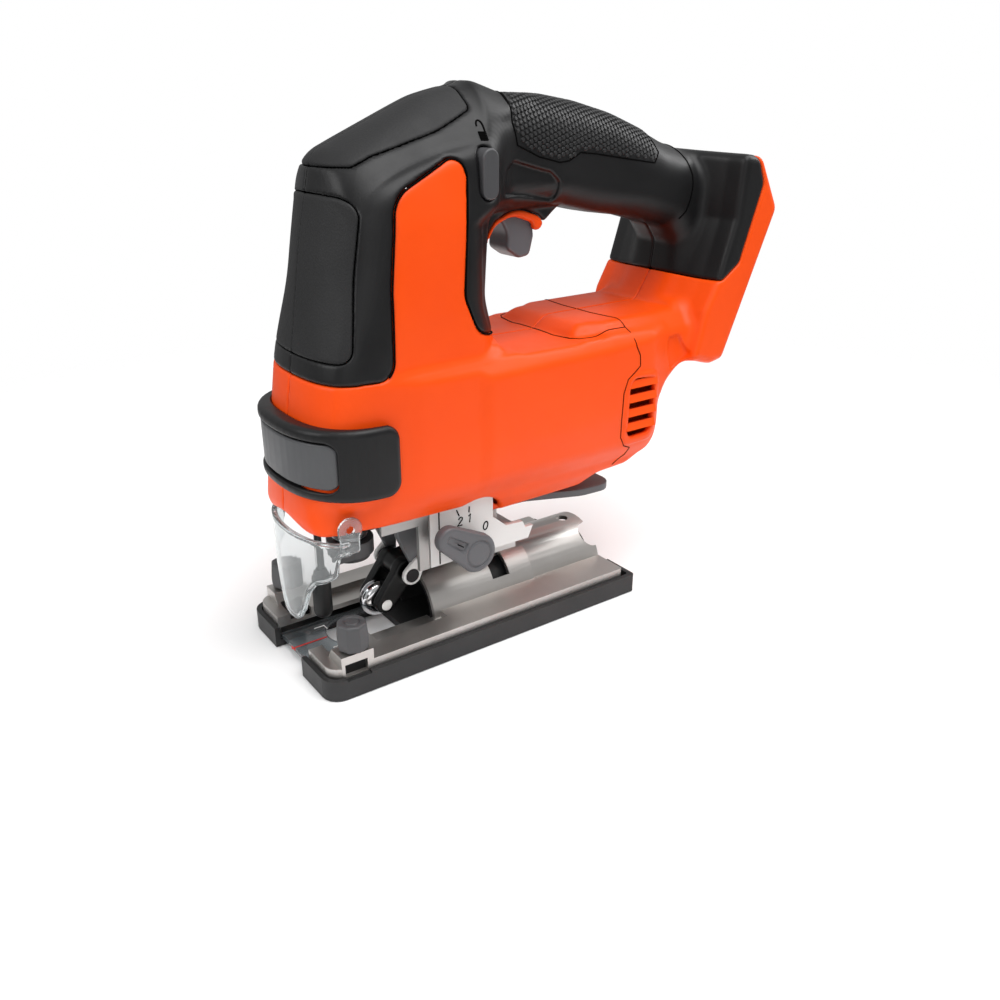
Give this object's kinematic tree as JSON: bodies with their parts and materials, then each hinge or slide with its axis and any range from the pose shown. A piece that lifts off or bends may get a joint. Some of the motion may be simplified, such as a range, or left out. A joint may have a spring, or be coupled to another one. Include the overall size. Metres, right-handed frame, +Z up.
{
  "type": "cordless jigsaw",
  "caption": "Cordless jigsaw with closed handle, clamshell body, battery dock, orbital blade support, clear chip guard and bevelling steel shoe in a plastic cover.",
  "frame": {"origin": "centre of the bounding box, on the plane of the shoe's sole", "axes": "+X to the rear of the tool (battery end), the blade is at the -X end; +Y to the tool's right hand side; +Z up"},
  "size_m": [0.2304, 0.076, 0.2178],
  "materials": {
    "orange_shell": "fine moulded grain, satin",
    "black_skin": "soft-touch overmould, matt",
    "black_pad": "fine dotted soft grip",
    "black_trim": "satin black moulding",
    "badge_grey": "plain grey inlay, no print",
    "dark_plastic": "moulded, matt",
    "contact_brass": "stamped contacts",
    "zinc_steel": "zinc plated",
    "cast_alloy": "die cast, blasted",
    "bronze_bush": "sintered bronze",
    "ground_steel": "ground and polished",
    "gear_steel": "machined, oiled",
    "lamination": "stacked laminations",
    "copper_winding": "enamelled copper wire",
    "circuit_board": "potted circuit board",
    "dark_steel": "blackened steel",
    "spring_steel": "drawn wire",
    "roller_chrome": "polished",
    "clear_plastic": "clear polycarbonate",
    "smoke_plastic": "clear smoked insert",
    "shoe_steel": "pressed, bright zinc",
    "lever_grey": "grey coated steel",
    "knob_grey": "moulded nylon",
    "control_grey": "moulded nylon, satin"
  },
  "bodies": {
    "body": {"housing_left": "orange_shell", "housing_right": "orange_shell", "grip_skin_left": "black_skin", "grip_skin_right": "black_skin", "head_pad_front": "black_pad", "head_pad_top": "black_pad", "badge_frame": "black_trim", "badge_plate": "badge_grey", "battery_dock": "dark_plastic", "terminal_block": "dark_plastic", "terminal_blades": "contact_brass", "housing_screws": "zinc_steel", "gearcase": "cast_alloy", "gearcase_cover": "cast_alloy", "gearcase_screws": "zinc_steel", "plunger_bush_lower": "bronze_bush", "plunger_bush_upper": "bronze_bush", "gear_arbor": "gear_steel", "motor_stator": "lamination", "motor_windings": "copper_winding", "bearing_front": "ground_steel", "bearing_rear": "ground_steel", "control_board": "circuit_board", "saddle_bracket": "cast_alloy", "fork_bracket": "zinc_steel", "fork_pin": "ground_steel", "finger_guard": "dark_steel", "finger_guard_tip": "dark_plastic", "clear_guard": "clear_plastic", "bevel_bolt": "zinc_steel", "bevel_clamp_pad": "zinc_steel", "trigger_pin": "ground_steel", "trigger_switch": "dark_plastic", "trigger_spring": "spring_steel"},
    "plunger": {"plunger": "ground_steel", "blade_clamp_body": "dark_steel", "clamp_spring": "spring_steel"},
    "clamp_lever": {"blade_clamp_lever": "dark_steel"},
    "gear": {"drive_gear": "gear_steel", "crank_roller": "ground_steel", "counterweight": "gear_steel"},
    "rotor": {"motor_rotor": "gear_steel", "motor_pinion": "gear_steel", "motor_fan": "dark_plastic"},
    "shoe": {"shoe_plate": "shoe_steel", "shoe_cover": "dark_plastic", "shoe_rivets": "zinc_steel", "sight_insert": "smoke_plastic", "dust_duct": "dark_plastic"},
    "bevel_lever": {"bevel_lever": "lever_grey"},
    "fork": {"orbit_fork": "dark_steel", "roller_pin": "ground_steel"},
    "roller": {"blade_roller": "roller_chrome"},
    "orbit_lever": {"orbit_lever": "control_grey", "orbit_cam_shaft": "ground_steel"},
    "trigger": {"trigger": "control_grey"},
    "lock_off": {"lock_off_button": "control_grey"},
    "knob_left": {"guide_knob_left": "knob_grey"},
    "knob_right": {"guide_knob_right": "knob_grey"}
  },
  "joints": [
    {"name": "shoe_tilt", "type": "hinge", "parent": "body", "child": "shoe", "pos_m": [-0.0374, 0, 0.0073], "axis": [1, 0, 0], "range_deg": [-45, 45]},
    {"name": "bevel_lever_turn", "type": "hinge", "parent": "body", "child": "bevel_lever", "pos_m": [-0.0209, 0, 0.0483], "axis": [0, 0, 1], "range_deg": [-50, 0]},
    {"name": "plunger_stroke", "type": "slide", "parent": "body", "child": "plunger", "axis": [0, 0, 1], "range_m": [-0.0125, 0.0125]},
    {"name": "clamp_lever_turn", "type": "hinge", "parent": "plunger", "child": "clamp_lever", "pos_m": [-0.0844, 0, 0.045], "axis": [0, 0, 1], "range_deg": [0, 40], "stiffness_Nm_per_rad": 0.05, "springref_deg": -11.46},
    {"name": "gear_spin", "type": "hinge", "parent": "body", "child": "gear", "pos_m": [-0.0554, 0, 0.107], "axis": [1, 0, 0], "continuous": true},
    {"name": "rotor_spin", "type": "hinge", "parent": "body", "child": "rotor", "pos_m": [-0.0074, 0, 0.085], "axis": [1, 0, 0], "continuous": true},
    {"name": "fork_swing", "type": "hinge", "parent": "body", "child": "fork", "pos_m": [-0.0632, 0, 0.029], "axis": [0, 1, 0], "range_deg": [0, 8]},
    {"name": "roller_spin", "type": "hinge", "parent": "fork", "child": "roller", "pos_m": [-0.0736, 0, 0.0163], "axis": [0, 1, 0], "continuous": true},
    {"name": "orbit_turn", "type": "hinge", "parent": "body", "child": "orbit_lever", "pos_m": [-0.0439, -0.028, 0.042], "axis": [0, 1, 0], "range_deg": [0, 112]},
    {"name": "trigger_pull", "type": "hinge", "parent": "body", "child": "trigger", "pos_m": [-0.0189, 0, 0.176], "axis": [0, -1, 0], "range_deg": [0, 10], "stiffness_Nm_per_rad": 0.6, "springref_deg": -8.59, "deforming": ["trigger_spring"]},
    {"name": "lock_off_slide", "type": "slide", "parent": "body", "child": "lock_off", "axis": [0, 1, 0], "range_m": [-0.003, 0.003]},
    {"name": "knob_left_turn", "type": "hinge", "parent": "shoe", "child": "knob_left", "pos_m": [-0.1009, -0.031, 0.022], "axis": [0, 0, 1], "continuous": true},
    {"name": "knob_right_turn", "type": "hinge", "parent": "shoe", "child": "knob_right", "pos_m": [-0.1009, 0.031, 0.022], "axis": [0, 0, 1], "continuous": true}
  ],
  "couplings": [
    {"joint": "rotor_spin", "follows": "gear_spin", "ratio": -6.8571}
  ]
}
